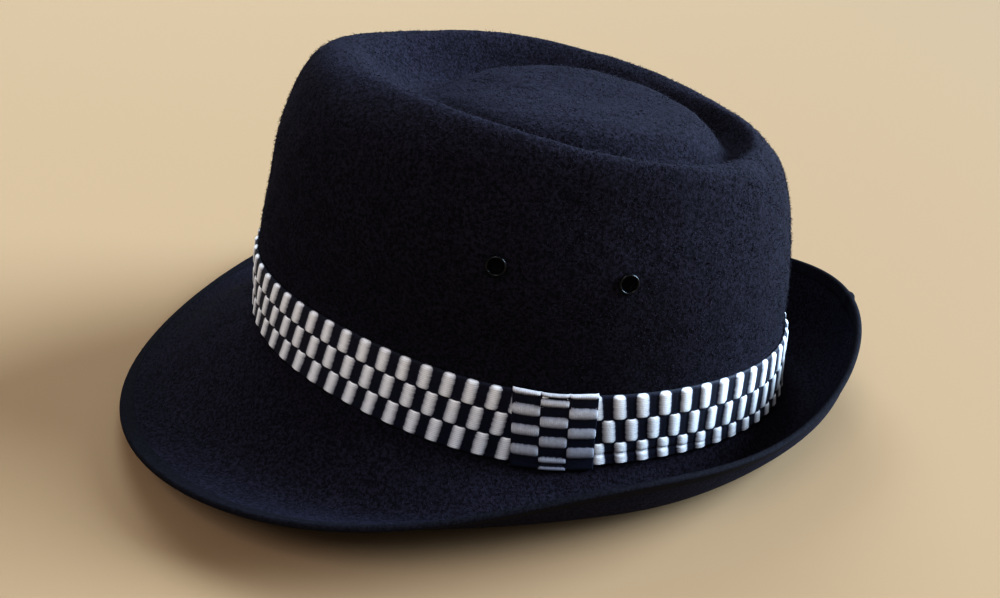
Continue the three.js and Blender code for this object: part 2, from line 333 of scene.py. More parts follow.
def rounded_eyelet():
    """Radius and height, from the back of the screen: lip, barrel, bead, bore, front of the screen."""
    back = -FELT_WALL - LIP_GAP
    bore = [[VENT_BORE, -VENT_SCREEN_DEPTH], [VENT_BORE, BORE_TOP]]
    bead = half_ellipse(VENT_BARREL, VENT_FLANGE, BEAD_FOOT, BEAD_RISE)
    barrel = [[VENT_BARREL, BARREL_TOP], [VENT_BARREL, back]]
    lip = half_ellipse(VENT_LIP, VENT_BORE, back, -LIP_DROP)
    back_of_screen = [[VENT_BORE, -VENT_SCREEN_DEPTH - VENT_SCREEN_WALL]]
    return np.concatenate([bore, bead, barrel, lip, back_of_screen])[::-1]


# %% Cutting the holes
# Degrees from the front, and the share of the way from the upper ring to the next one down.
VENT_PLACES = {"front": (84, 0.75), "back": (112, 0.86)}
PLUG_TOP, PLUG_FOOT, PLUG_PLAY, PLUG_AXIS = 4.0, -6.0, 0.3, 0.001
SHARP_ANGLE = math.radians(55)
vent_spots = {}
for name, (degrees, share) in VENT_PLACES.items():
    for hat_side, sign in (("left", 1), ("right", -1)):
        spot = np.array([[STATION["upper"] + share], [sign * math.radians(degrees)]])
        vent_spots[f"vent_{hat_side}_{name}"] = (place(*spot)[0], felt_directions(*spot)[1][0])

plug_radii = [PLUG_AXIS, VENT_BARREL + PLUG_PLAY, VENT_BARREL + PLUG_PLAY, PLUG_AXIS]
plug = np.stack([plug_radii, [PLUG_TOP, PLUG_TOP, PLUG_FOOT, PLUG_FOOT]], axis=-1)
punch_points = np.concatenate([turned(plug, *spot).reshape(-1, 3) for spot in vent_spots.values()])
punch_faces = grid_faces(len(plug), VENT_SIDES, True, True)
punch_starts = np.arange(len(vent_spots))[:, None, None] * len(plug) * VENT_SIDES
punch_mesh = bpy.data.meshes.new("vent_punch")
punch_mesh.from_pydata(punch_points, [], (punch_faces + punch_starts).reshape(-1, 4).tolist())
punch = add_object("vent_punch", punch_mesh)
cut = felt.modifiers.new("vent holes", "BOOLEAN")
cut.object = punch
cut.solver = "EXACT"
pierced = bpy.data.meshes.new_from_object(felt.evaluated_get(bpy.context.evaluated_depsgraph_get()))
felt.modifiers.clear()
felt.data = pierced
pierced.set_sharp_from_angle(angle=SHARP_ANGLE)
bpy.data.objects.remove(punch)
print("felt after punching:", len(pierced.polygons), "faces")

# %% Turning the vents
# The second coordinate counts the rows of the profile: 0 behind the screen, and most in front of it.
eyelet = rounded_eyelet()
eyelet_rows = len(eyelet)
screen_heights = eyelet[[0, -1], 1:]
eyelet_faces = capped_faces(eyelet_rows, VENT_SIDES)
wall_uv = grid_corners(np.arange(eyelet_rows) * 1.0, np.arange(VENT_SIDES + 1.0))
fan_uv = np.ones((3 * VENT_SIDES, 2))
eyelet_uv = np.concatenate([wall_uv, fan_uv * 0, fan_uv * eyelet_rows])
vents = []
for name, (centre, outward) in vent_spots.items():
    poles = centre + screen_heights * outward * MM
    eyelet_points = np.concatenate([turned(eyelet, centre, outward).reshape(-1, 3), poles])
    vent = make_piece(name + "_eyelet", eyelet_points, eyelet_faces, [name], eyelet_uv)
    vent.data.set_sharp_from_angle(angle=SHARP_ANGLE)
    vents.append(vent)

# %% [markdown]
# ## Edge binding
#
# A ribbon about 10 mm wide is folded over the raw edge and sewn, so a narrow strip shows above and below. A
# bevelled curve could sweep it round, but its legs must follow the felt's own slope, so it is placed on
# the felt's directions. Its profile goes along the top leg, round the edge in half an ellipse, and back
# along the bottom leg. The ribbon's ends overlap at the back, which makes a small thick place there.

# %% Binding profile
BINDING_LIFT, BINDING_INSIDE, BINDING_HEM = 0.3, 0.08, 0.2
OUTSIDE_PAST_EDGE, INSIDE_PAST_EDGE = 0.7, 0.3
BINDING_COLUMNS, EDGE_STEPS = 720, 15
# Shares of the way along a leg, and the share of the lift at each of them after the hem.
LEG_SHARES = np.array([0, 0.04, 0.1, 0.2, 0.35, 0.6, 0.85])
LEG_LIFTS = np.array([0.55, 0.85, 1, 1, 1, 1])


def binding_path(lift, past_edge, hem):
    """Rows of station share, lift and shift: a hemmed top leg, a half ellipse past the edge, a bottom leg."""
    leg = np.append(hem, LEG_LIFTS) * lift
    bend = np.linspace(0, np.pi, EDGE_STEPS)
    middle = -FELT_EDGE_WALL / 2
    round_the_edge = middle + (lift - middle) * np.cos(bend)
    not_shifted = np.zeros(len(LEG_SHARES))
    share = np.concatenate([LEG_SHARES, np.ones(EDGE_STEPS), LEG_SHARES[::-1]])
    height = np.concatenate([leg, round_the_edge, -FELT_EDGE_WALL - leg[::-1]])
    beyond = np.concatenate([not_shifted, past_edge * np.sin(bend), not_shifted])
    return share[:, None], height[:, None], beyond[:, None]


# %% Binding mesh
JOINT_LIFT, JOINT_HALF_TURN = 0.5, 0.018
binding_angles = np.arange(BINDING_COLUMNS) * 2 * np.pi / BINDING_COLUMNS
start = binding_station(binding_angles)
joint = np.exp(-(((binding_angles - np.pi) / JOINT_HALF_TURN) ** 4))


def binding_sheet(lift, past_edge, hem, thicker):
    """The path's rows at every angle, with the joint's extra thickness added away from the felt's middle."""
    share, height, beyond = binding_path(lift, past_edge, hem)
    away = np.sign(height + FELT_EDGE_WALL / 2)
    stations = start + share * (STATION["edge"] - start)
    shift = beyond + joint * thicker * (beyond > 0)
    return place(stations, binding_angles, height + away * joint * thicker, shift)


binding_outside = binding_sheet(BINDING_LIFT, OUTSIDE_PAST_EDGE, BINDING_HEM, JOINT_LIFT)
binding_inside = binding_sheet(BINDING_INSIDE, INSIDE_PAST_EDGE, 1, 0)[::-1]
binding_points = np.concatenate([binding_outside, binding_inside])
binding_faces = grid_faces(len(binding_points), BINDING_COLUMNS, True, True)
edge_length = lengths(place(STATION["edge"], np.append(binding_angles, 2 * np.pi))) / MM
binding_uv = grid_corners(np.arange(len(binding_points) + 1.0), edge_length)
binding = make_piece(
    "edge_binding", binding_points, binding_faces, ["brim_binding"], binding_uv
)
print("brim edge is", round(edge_length[-1]), "mm round")

# %% [markdown]
# ## Chequered band
#
# The ribbon is woven with three rows of checks. A check is a patch of threads that run along the ribbon
# and dip under at both ends, so white checks stand up like small pillows and black ones lie lower. Bump
# alone would look printed, so the pillows and the threads are raised in the mesh, and the material adds
# their colour and the grain of the yarn. The ribbon's own coordinates count checks: u along its length,
# v across its width. Drawn round the crown, the weave is pulled askew in places. Behind the tab the last
# row of checks is creased, and towards the back it is tucked under, so less of it shows.

# %% Ribbon relief
CHECK_ROWS, THREADS_PER_CHECK = 3, 13
WHITE_SHARE = 0.58
WHITE_RISE, BLACK_RISE, THREAD_RISE = 0.7, 0.08, 0.06
PILLOW_SIDES, ROW_MARGIN = 0.7, 1e-6
# A white and a black check are a pair. This share of a pair puts a white check's middle at u = 0.5.
PAIR_SHIFT = 0.25


def check_relief(u, v):
    """Height of the weave: a pillow on each check, high on white, with a ripple for each thread. The pillow
    is the root of one less the square of the distance along it and a share of the eighth power across it."""
    v = np.clip(v, ROW_MARGIN, CHECK_ROWS - ROW_MARGIN)
    row = np.floor(v)
    from_white = np.abs(np.mod((u + row) / 2 + PAIR_SHIFT, 1) - 0.5) * 2
    is_white = from_white < WHITE_SHARE
    along = np.where(is_white, from_white / WHITE_SHARE, (1 - from_white) / (1 - WHITE_SHARE))
    across = np.abs(2 * (v - row) - 1)
    rise = np.where(is_white, WHITE_RISE, BLACK_RISE)
    pillow = rise * np.sqrt(np.clip(1 - along**2 - PILLOW_SIDES * across**8, 0, 1))
    return pillow - THREAD_RISE * np.cos(2 * np.pi * v * THREADS_PER_CHECK)


# %% Even checks round the crown
RIBBON_BACK, RIBBON_FACE = 0.3, 1.0
BAND_CHECKS, BAND_FIRST_CHECK, BAND_STEPS_PER_CHECK = 153.22, 0.98, 6
BAND_START_DEG = 98.4
FINE_ROUND, FINE_DOWN = 4001, 200
band_middle = STATION["band_top"] + 0.5
band_columns = round(BAND_CHECKS * BAND_STEPS_PER_CHECK)
fine_angles = np.linspace(0, 2 * np.pi, FINE_ROUND) + math.radians(BAND_START_DEG)
band_length = lengths(place(band_middle, fine_angles, RIBBON_FACE)) / MM
check_length = band_length[-1] / BAND_CHECKS
band_share = np.linspace(0, 1, band_columns + 1)
band_u = BAND_FIRST_CHECK + band_share * BAND_CHECKS
middle_angles = np.interp(band_share * band_length[-1], band_length, fine_angles)[:-1]
fine_stations = np.linspace(STATION["band_top"], STATION["band_foot"], FINE_DOWN)
band_depth = lengths(place(fine_stations, math.pi / 2)) / MM
print("band is", round(band_length[-1]), "mm round and", round(band_depth[-1], 1), "mm deep")
print("one check is", round(check_length, 2), "mm long")

# %% Lines across the ribbon
# Degrees round from the front, and how many degrees the weave is pulled askew there.
PULLED_ASKEW = {98: -10, 180: -6, 350: 20, 385: 20, 405: 8, 425: 2, 459: 6}


def band_stations(v):
    """Stations at even depths down the band, v counting checks from its top edge."""
    return np.interp(v / CHECK_ROWS * band_depth[-1], band_depth, fine_stations)


def leaning_angles(v):
    """Angles of the lines across the ribbon. Square to its length, such a line leaves the meridian by its
    depth times the tangent of the band's climb. The pull is added to the angle of the climb."""
    ahead = place(band_middle, middle_angles + SMALL_TURN)
    behind = place(band_middle, middle_angles - SMALL_TURN)
    run = np.linalg.norm(ahead - behind, axis=-1) / (2 * SMALL_TURN) / MM
    down_the_felt = felt_directions(np.float64(band_middle), middle_angles)[0]
    climb = (unit(ahead - behind) * down_the_felt).sum(axis=-1)
    pulled = np.interp(np.degrees(middle_angles), list(PULLED_ASKEW), list(PULLED_ASKEW.values()))
    lean = -np.tan(np.arcsin(climb) + np.radians(pulled))
    return middle_angles + lean / run * (v / CHECK_ROWS - 0.5) * band_depth[-1]


# %% Crease and tuck of the lower edge
# Widths in checks, depth in mm, and the angles round the hat between which they show.
CREASE_V, CREASE_WIDTH, CREASE_DEPTH = 2.5, 0.08, 0.45
CREASE_FROM, CREASE_TO = math.radians(106), math.radians(140)
CREASE_RUN_IN, CREASE_RUN_OUT = 0.05, 0.3
TUCK_CHECKS, TUCK_RIM = 0.6, 0.1
TUCK_FROM, TUCK_TO, TUCK_RUN = math.radians(122), math.radians(225), math.radians(30)
turn = np.mod(middle_angles, 2 * np.pi)
band_v = np.linspace(0, CHECK_ROWS, CHECK_ROWS * THREADS_PER_CHECK * 2 + 1)


def shown_between(first, last, run_in, run_out):
    """One between two angles round the hat, zero outside them, with a straight ramp inside each end."""
    return np.clip((turn - first) / run_in, 0, 1) * np.clip((last - turn) / run_out, 0, 1)


creased = shown_between(CREASE_FROM, CREASE_TO, CREASE_RUN_IN, CREASE_RUN_OUT)
crease = CREASE_DEPTH * creased * np.exp(-(((band_v[:, None] - CREASE_V) / CREASE_WIDTH) ** 2))
tuck_starts, rim_starts = CHECK_ROWS - TUCK_CHECKS, CHECK_ROWS - TUCK_RIM
tucked_v = np.interp(band_v, [0, tuck_starts, CHECK_ROWS], [0, rim_starts, CHECK_ROWS])
tucked = shown_between(TUCK_FROM, TUCK_TO, TUCK_RUN, TUCK_RUN)
seen_v = band_v[:, None] + (tucked_v - band_v)[:, None] * tucked

# %% Band mesh
HEM_WIDTH, HEM_LEAST, HEM_WALL = 0.06, 0.2, 0.2
relief = check_relief(band_u[None, :-1], band_v[:, None])
hem = np.clip(np.minimum(seen_v, CHECK_ROWS - seen_v) / HEM_WIDTH, HEM_LEAST, 1)
face_lift = RIBBON_BACK + HEM_WALL + (RIBBON_FACE - RIBBON_BACK - HEM_WALL + relief - crease) * hem
band_outside = place(band_stations(seen_v), leaning_angles(seen_v), face_lift)
back_v = np.arange(CHECK_ROWS, -1.0, -1.0)
band_inside = place(band_stations(back_v)[:, None], leaning_angles(back_v[:, None]), RIBBON_BACK)
band_points = np.concatenate([band_outside, band_inside])
band_faces = grid_faces(len(band_points), band_columns, True, True)
band_uv = grid_corners(np.concatenate([band_v, back_v, [0.0]]), band_u)
band = make_piece("chequered_band", band_points, band_faces, ["hat_band"], band_uv)

# %% [markdown]
# ## Wrapped tab
#
# The band's two ends meet on the left side. A short length of the same ribbon stands upright over them: it
# comes out from behind the band's top edge, runs down the front and goes in under the foot. A cloth
# simulation could drape it, but it is sewn tight, so its profile is a straight run with a quarter ellipse
# at each end. Its top lip sags in the middle, as folded ribbon does. Small pleats across its middle row,
# at the top and at the foot, hide parts of black checks, so the weave is counted by a table there.

# %% Tab path
TAB_CENTRE, TAB_WIDTH = math.radians(98), 27
TAB_LIFT, TAB_END_LIFT, TAB_LIP, TAB_SAG = 1.75, 0.7, 1.3, 0.6
BEND_STEPS, FACE_STEPS = 12, 60
tab_v = band_v
tab_reach = around(FELT_RINGS["band_foot"][0], TAB_CENTRE) + TAB_LIFT
tab_angles = TAB_CENTRE + (tab_v / CHECK_ROWS - 0.5) * TAB_WIDTH / tab_reach


def tab_path(lift, past_band):
    """Rows of station, lift and shift: a quarter ellipse out and up, the front face, a quarter ellipse in."""
    bend = np.linspace(0, np.pi / 2, BEND_STEPS)
    face = band_stations(np.linspace(0, CHECK_ROWS, FACE_STEPS))
    top, foot = (np.full(BEND_STEPS, STATION[ring]) for ring in ("band_top", "band_foot"))
    station = np.concatenate([top, face, foot])
    bow = np.concatenate([np.sin(bend), np.ones(FACE_STEPS), np.cos(bend)])
    shift = past_band * np.concatenate([-np.cos(bend), np.zeros(FACE_STEPS), np.sin(bend)])
    return station, TAB_END_LIFT + (lift - TAB_END_LIFT) * bow, shift


def tab_lengths(path):
    """Distance along the tab's path at its middle, in metres."""
    return lengths(place(path[0], TAB_CENTRE, *path[1:]))


tab_length = tab_lengths(tab_path(TAB_LIFT, TAB_LIP))[-1] / MM
print("tab is", round(tab_length, 1), "mm long, with its turned ends")

# %% Tab pleats
# Checks counted along the tab, and along its weave. The count runs fast where a pleat hides threads.
MIDDLE_ROW = {0.4: -0.4, 0.95: 0.06, 1.22: 0.94, 1.9: 2, 2.3: 2.3}
MIDDLE_ROW |= {6.8: 6.8, 7.05: 6.95, 7.62: 8.05, 7.95: 8.95, 8.4: 9.5}
SIDE_ROWS = {0.4: 0.4, 7.2: 7.2, 8.4: 7.88}
PLEATS_U, PLEAT_HALF_WIDTH, PLEAT_DEPTH, PLEAT_ENDS = np.array([1.08, 7.8]), 0.13, 0.5, 0.1


def pleated(u, v):
    """Checks counted along the weave, read from the table of the middle row or of the rows beside it."""
    middle, beside = (np.interp(u, list(row), list(row.values())) for row in (MIDDLE_ROW, SIDE_ROWS))
    return np.where((v >= 1) & (v < 2), middle, beside)


def tab_relief(u, v):
    """The weave's relief, less a groove of bell-shaped section at each pleat of the middle row."""
    in_middle_row = np.clip(np.minimum(v - 1, 2 - v) / PLEAT_ENDS, 0, 1)
    from_pleat = (u[:, None] - PLEATS_U) / PLEAT_HALF_WIDTH
    groove = np.exp(-(from_pleat**2)).sum(axis=1)[:, None] * in_middle_row
    return check_relief(pleated(u[:, None], v), v) - PLEAT_DEPTH * groove


def tab_sheet(share, lift, past_band, relief=0):
    """The path at even lengths, one row for each share of it, lifted by the relief."""
    path = tab_path(lift, past_band)
    length = tab_lengths(path)
    station, rise, shift = (np.interp(share * length[-1], length, value)[:, None] for value in path)
    sag = TAB_SAG * np.sin(np.pi * tab_v / CHECK_ROWS) ** 2 * (shift < 0)
    return place(station, tab_angles, rise + relief, shift + sag)


# %% Tab mesh
TAB_FIRST_CHECK, TAB_STEPS_PER_CHECK = 0.4, 14
TAB_FACE_WALL, TAB_END_WALL = 0.4, 0.8
tab_checks = tab_length / check_length
tab_share = np.linspace(0, 1, int(tab_checks * TAB_STEPS_PER_CHECK) + 1)
tab_u = TAB_FIRST_CHECK + tab_share * tab_checks
tab_outside = tab_sheet(tab_share, TAB_LIFT, TAB_LIP, tab_relief(tab_u, tab_v))
tab_inside = tab_sheet(tab_share[::-1], TAB_LIFT - TAB_FACE_WALL, TAB_LIP - TAB_END_WALL)
tab_points = np.concatenate([tab_outside, tab_inside])
tab_rows, tab_columns = tab_points.shape[:2]
left_edge = np.arange(len(tab_u) - 1) * tab_columns
opposite = (tab_rows - 1) * tab_columns - left_edge
left_side = np.stack([left_edge, opposite, opposite - tab_columns, left_edge + tab_columns], axis=-1)
right_side = left_side[:, ::-1] + tab_columns - 1
tab_faces = np.concatenate([grid_faces(tab_rows, tab_columns, True, False), left_side, right_side])
tab_uv = grid_corners(np.concatenate([tab_u, tab_u[::-1], tab_u[:1]]), tab_v)[:, ::-1]
face_u, face_v = np.moveaxis(tab_uv.reshape(-1, 4, 2), -1, 0)
tab_uv[:, 0] = pleated(face_u, face_v.mean(axis=1, keepdims=True)).ravel()
side_uv = np.ones((left_side.size + right_side.size, 2))
tab_uv = np.concatenate([tab_uv, side_uv])
tab = make_piece("wrapped_tab", tab_points, tab_faces, ["band_tab"], tab_uv)

# %% [markdown]
# ## Shared finishes
#
# Felt, loose fibres, ribbons and metal all show a mottle of lighter and darker clumps, each at its own
# scale, and pale lint lies on the binding. The nodes could be laid out in every material, but as a node
# group with named inputs each effect is made once, and one change serves every material that uses it.


# %% A helper for node groups
def new_group(name, inputs, outputs):
    """An empty shader node group with float inputs and outputs, and its input and output nodes."""
    group = bpy.data.node_groups.new(name, "ShaderNodeTree")
    group.interface.new_socket("Coordinates", in_out="INPUT", socket_type="NodeSocketVector")
    for label, value in inputs.items():
        socket = group.interface.new_socket(label, in_out="INPUT", socket_type="NodeSocketFloat")
        socket.default_value = value
    for label in outputs:
        group.interface.new_socket(label, in_out="OUTPUT", socket_type="NodeSocketFloat")
    return group, group.nodes.new("NodeGroupInput"), group.nodes.new("NodeGroupOutput")


def add_node(tree, kind, **settings):
    """A new node of that kind, with its settings made."""
    node = tree.nodes.new(kind)
    for setting, value in settings.items():
        setattr(node, setting, value)
    return node


def set_inputs(node, **values):
    """Sets plain values on a node's inputs. An underscore in a label stands for a space."""
    for label, value in values.items():
        node.inputs[label.replace("_", " ")].default_value = value


def math_node(tree, operation, *values):
    """A Math node whose inputs are sockets or plain numbers. Returns its output."""
    node = add_node(tree, "ShaderNodeMath", operation=operation)
    for socket, value in zip(node.inputs, values):
        if isinstance(value, bpy.types.NodeSocket):
            tree.links.new(value, socket)
        else:
            socket.default_value = value
    return node.outputs[0]


# %% Mottle
# A coarse noise and a share of a finer one are added. Fleck is their sum, stretched round its middle.
FINER, FINE_SHARE, MOTTLE_MIDDLE, MOTTLE_STRETCH = 3.1, 0.4, 0.7, 3.0
mottle_inputs = {"Clumps per metre": 400, "Contrast": 1}
mottle, mottle_in, mottle_out = new_group("mottle", mottle_inputs, ["Fleck", "Height"])
clump_scale = mottle_in.outputs["Clumps per metre"]
coarse = add_node(mottle, "ShaderNodeTexNoise")
set_inputs(coarse, Detail=4, Roughness=0.65)
fine = add_node(mottle, "ShaderNodeTexNoise")
set_inputs(fine, Detail=3)
for noise, scale in ((coarse, clump_scale), (fine, math_node(mottle, "MULTIPLY", clump_scale, FINER))):
    mottle.links.new(mottle_in.outputs["Coordinates"], noise.inputs["Vector"])
    mottle.links.new(scale, noise.inputs["Scale"])
both = math_node(mottle, "MULTIPLY_ADD", fine.outputs["Fac"], FINE_SHARE, coarse.outputs["Fac"])
centred = math_node(mottle, "SUBTRACT", both, MOTTLE_MIDDLE)
stretch = math_node(mottle, "MULTIPLY", mottle_in.outputs["Contrast"], MOTTLE_STRETCH)
fleck = add_node(mottle, "ShaderNodeClamp")
mottle.links.new(math_node(mottle, "MULTIPLY_ADD", centred, stretch, 0.5), fleck.inputs["Value"])
mottle.links.new(fleck.outputs[0], mottle_out.inputs["Fleck"])
mottle.links.new(both, mottle_out.inputs["Height"])

# %% Lint
# A speck is the middle of a Voronoi cell, in the share of all cells that Amount gives.
SPECK_RADIUS = 0.11
lint, lint_in, lint_out = new_group("lint", {"Specks per metre": 260, "Amount": 0.1}, ["Speck"])
cells = add_node(lint, "ShaderNodeTexVoronoi")
lint.links.new(lint_in.outputs["Coordinates"], cells.inputs["Vector"])
lint.links.new(lint_in.outputs["Specks per metre"], cells.inputs["Scale"])
near = math_node(lint, "LESS_THAN", cells.outputs["Distance"], SPECK_RADIUS)
chosen = add_node(lint, "ShaderNodeSeparateColor")
lint.links.new(cells.outputs["Color"], chosen.inputs[0])
picked = math_node(lint, "LESS_THAN", chosen.outputs[0], lint_in.outputs["Amount"])
lint.links.new(math_node(lint, "MULTIPLY", near, picked), lint_out.inputs["Speck"])
print("node groups:", [group.name for group in bpy.data.node_groups])


# %% A helper for materials
def new_material(name):
    """A material with a bare Principled BSDF. Returns the material, its tree and the shader."""
    material = bpy.data.materials.new(name)
    material.use_nodes = True
    return material, material.node_tree, material.node_tree.nodes["Principled BSDF"]


def use_group(tree, group, **values):
    """A group node fed with Object coordinates, with plain values set on its inputs."""
    node = add_node(tree, "ShaderNodeGroup", node_tree=group)
    where = add_node(tree, "ShaderNodeTexCoord").outputs["Object"]
    tree.links.new(where, node.inputs["Coordinates"])
    set_inputs(node, **values)
    return node


def ribbon_split(tree):
    """A node that splits a piece's own coordinates. Its first two outputs run along and across."""
    split = add_node(tree, "ShaderNodeSeparateXYZ", name="ribbon split")
    tree.links.new(add_node(tree, "ShaderNodeUVMap", uv_map=RIBBON_UV).outputs["UV"], split.inputs[0])
    return split.outputs[0], split.outputs[1]


def mix_colour(tree, factor, first, second):
    """A Mix node from a first to a second colour. Colours are sockets or red, green, blue values."""
    node = add_node(tree, "ShaderNodeMix", data_type="RGBA")
    tree.links.new(factor, node.inputs["Factor"])
    for socket, value in ((node.inputs["A"], first), (node.inputs["B"], second)):
        if isinstance(value, bpy.types.NodeSocket):
            tree.links.new(value, socket)
        else:
            socket.default_value = (*value, 1)
    return node.outputs["Result"]


def add_bump(tree, shader, height, strength, distance):
    """A Bump node between a height and the shader's Normal."""
    bump = add_node(tree, "ShaderNodeBump")
    set_inputs(bump, Strength=strength, Distance=distance)
    tree.links.new(height, bump.inputs["Height"])
    tree.links.new(bump.outputs["Normal"], shader.inputs["Normal"])


def put_on(material, *pieces):
    """Makes it the only material of each piece."""
    for piece in pieces:
        piece.data.materials.clear()
        piece.data.materials.append(material)


# %% [markdown]
# ## Felt finish
#
# Wool felt has no gloss: light catches its loose fibres at a slant, which is what the sheen of the shader
# stands for. One flat colour would look like plastic. This one is a blue that is nearly black, mottled in
# clumps of about a millimetre, and the clumps change a little from patch to patch.

# %% Felt material
BETWEEN_TUFTS = (0.0062, 0.0054, 0.0080)
DEEP_TUFTS, PALE_TUFTS = (0.0165, 0.0143, 0.0224), (0.0222, 0.0192, 0.0307)
felt_finish, tree, shader = new_material("navy_felt")
clumps = use_group(tree, mottle, Clumps_per_metre=880, Contrast=2.0)
grain = use_group(tree, mottle, Clumps_per_metre=1300, Contrast=1.0)
patches = use_group(tree, mottle, Clumps_per_metre=60, Contrast=0.6)
tuft_colour = mix_colour(tree, patches.outputs["Fleck"], DEEP_TUFTS, PALE_TUFTS)
body_colour = mix_colour(tree, clumps.outputs["Fleck"], BETWEEN_TUFTS, tuft_colour)
tree.links.new(body_colour, shader.inputs["Base Color"])
set_inputs(shader, Roughness=0.95, Specular_IOR_Level=0.1)
set_inputs(shader, Sheen_Weight=0.02, Sheen_Roughness=0.4, Sheen_Tint=(0.26, 0.31, 0.75, 1))
add_bump(tree, shader, grain.outputs["Height"], strength=0.8, distance=0.4 * MM)
put_on(felt_finish, felt)

# %% [markdown]
# ## Loose fibres
#
# Short ends of wool stand off the felt and blur its outline. A particle system could grow them, but plain
# slivers stay in the mesh that is handed on: each is a thin closed pyramid with three sides, rooted in the
# felt and bent over, and all of them are one mesh. None grows under a ribbon or beside a vent.

# %% Fibre roots
FIBRES, TRIES_PER_FIBRE, FIBRE_SEED = 45000, 3, 11
# Bare felt over the band and at the binding, in stations, and round a vent, in mm.
BARE_OVER_BAND, BARE_AT_BINDING, BARE_ROUND_VENT = 0.02, 0.05, 4.5
chance = np.random.default_rng(FIBRE_SEED)
tries = TRIES_PER_FIBRE * FIBRES
root_station = np.interp(chance.uniform(0, 1, tries), np.linspace(0, 1, FELT_ROWS), even_stations(FELT_ROWS))
root_angle = chance.uniform(0, 2 * np.pi, tries)
root = place(root_station, root_angle)
reach = np.hypot(root[:, 0], root[:, 1] - AXIS_Y * MM)
keep = chance.uniform(0, FRONT_REACH * MM, tries) < reach
keep &= (root_station < STATION["band_top"] - BARE_OVER_BAND) | (root_station > STATION["crease"])
keep &= root_station < binding_station(root_angle) - BARE_AT_BINDING
for centre, _ in vent_spots.values():
    keep &= np.linalg.norm(root - centre, axis=-1) > BARE_ROUND_VENT * MM
keep = np.flatnonzero(keep)[:FIBRES]
print("fibres rooted:", len(keep))

# %% Fibre slivers
FIBRE_SHORT, FIBRE_LONG, FIBRE_HALF_WIDTH, ROOT_DEPTH = 0.5, 1.7, 0.11, 0.1
LEAST_RISE = 0.25
root, root_station, root_angle = root[keep], root_station[keep], root_angle[keep]
along, out = felt_directions(root_station, root_angle)
across = np.cross(out, along)
heading, rising = chance.uniform(0, 2 * np.pi, (2, len(root), 1))
rising = LEAST_RISE + (1 - LEAST_RISE) * np.sin(rising) ** 4
flat = along * np.cos(heading) + across * np.sin(heading)
stem = unit(flat + out * rising)
wide = unit(np.cross(stem, out))
thick = np.cross(wide, stem)
length = chance.uniform(FIBRE_SHORT, FIBRE_LONG, (len(root), 1))
corner_turn = np.array([0, 2, 4]) * np.pi / 3
ring = wide[:, None] * np.cos(corner_turn)[:, None] + thick[:, None] * np.sin(corner_turn)[:, None]
foot = (root - out * ROOT_DEPTH * MM)[:, None] + ring * FIBRE_HALF_WIDTH * MM
tip_point = (root + stem * length * MM)[:, None]
fibre_points = np.concatenate([foot, tip_point], axis=1)
sliver = np.array([[0, 2, 1], [0, 1, 3], [1, 2, 3], [2, 0, 3]])
fibre_faces = (sliver + 4 * np.arange(len(root))[:, None, None]).reshape(-1, 3)
nap = make_piece("felt_nap", fibre_points, fibre_faces, [])

# %% Fibre material
DEEP_NAP, PALE_NAP = (0.0102, 0.0088, 0.0135), (0.0306, 0.0264, 0.042)
nap_finish, tree, shader = new_material("felt_nap")
strands = use_group(tree, mottle, Clumps_per_metre=700, Contrast=1.2)
nap_colour = mix_colour(tree, strands.outputs["Fleck"], DEEP_NAP, PALE_NAP)
tree.links.new(nap_colour, shader.inputs["Base Color"])
set_inputs(shader, Roughness=0.8, Specular_IOR_Level=0.2)
put_on(nap_finish, nap)

# %% [markdown]
# ## Chequered ribbon finish
#
# A picture of the weave could be wrapped round, but the colour follows the ribbon's own coordinates, which
# count checks, so it fits the relief exactly. A white check is a rounded rectangle, and its mask is a
# superellipse: high powers of the distances from its middle, along and across, must stay under one
# together. Each thread's end is nudged by a little noise, which leaves the ragged ends of a weave. The
# ends of a check are darker, partly because the threads dive under there and partly as painted shade on
# the pillow's flanks. The grooves between threads carry painted shade too.

# %% Ribbon coordinates
ribbon_finish, tree, shader = new_material("chequered_ribbon")
along_ribbon, across_ribbon = ribbon_split(tree)
counted = math_node(tree, "ADD", along_ribbon, math_node(tree, "FLOOR", across_ribbon))
pair = math_node(tree, "MULTIPLY_ADD", counted, 0.5, PAIR_SHIFT)


def from_middle(count):
    """Distance of a count from the middle of its unit: its fraction, less a half, without the sign."""
    return math_node(tree, "ABSOLUTE", math_node(tree, "SUBTRACT", math_node(tree, "FRACT", count), 0.5))


thread_number = math_node(tree, "FLOOR", math_node(tree, "MULTIPLY", across_ribbon, THREADS_PER_CHECK))
thread_end = add_node(tree, "ShaderNodeCombineXYZ")
tree.links.new(math_node(tree, "FLOOR", pair), thread_end.inputs[0])
tree.links.new(thread_number, thread_end.inputs[1])
ragged = add_node(tree, "ShaderNodeTexWhiteNoise", noise_dimensions="2D")
tree.links.new(thread_end.outputs[0], ragged.inputs["Vector"])

# %% White checks
RAGGED_ENDS = 0.1
POWER_ALONG, POWER_ACROSS = 4, 8
nudge = math_node(tree, "MULTIPLY", math_node(tree, "SUBTRACT", ragged.outputs["Value"], 0.5), RAGGED_ENDS)
white_along = math_node(tree, "MULTIPLY_ADD", from_middle(pair), 2 / WHITE_SHARE, nudge)
white_across = math_node(tree, "MULTIPLY", from_middle(across_ribbon), 2)
power_along = math_node(tree, "POWER", white_along, POWER_ALONG)
power_across = math_node(tree, "POWER", white_across, POWER_ACROSS)
white = add_node(tree, "ShaderNodeMapRange", interpolation_type="SMOOTHSTEP")
set_inputs(white, From_Min=1.25, From_Max=0.8, To_Min=0, To_Max=1)
tree.links.new(math_node(tree, "ADD", power_along, power_across), white.inputs["Value"])

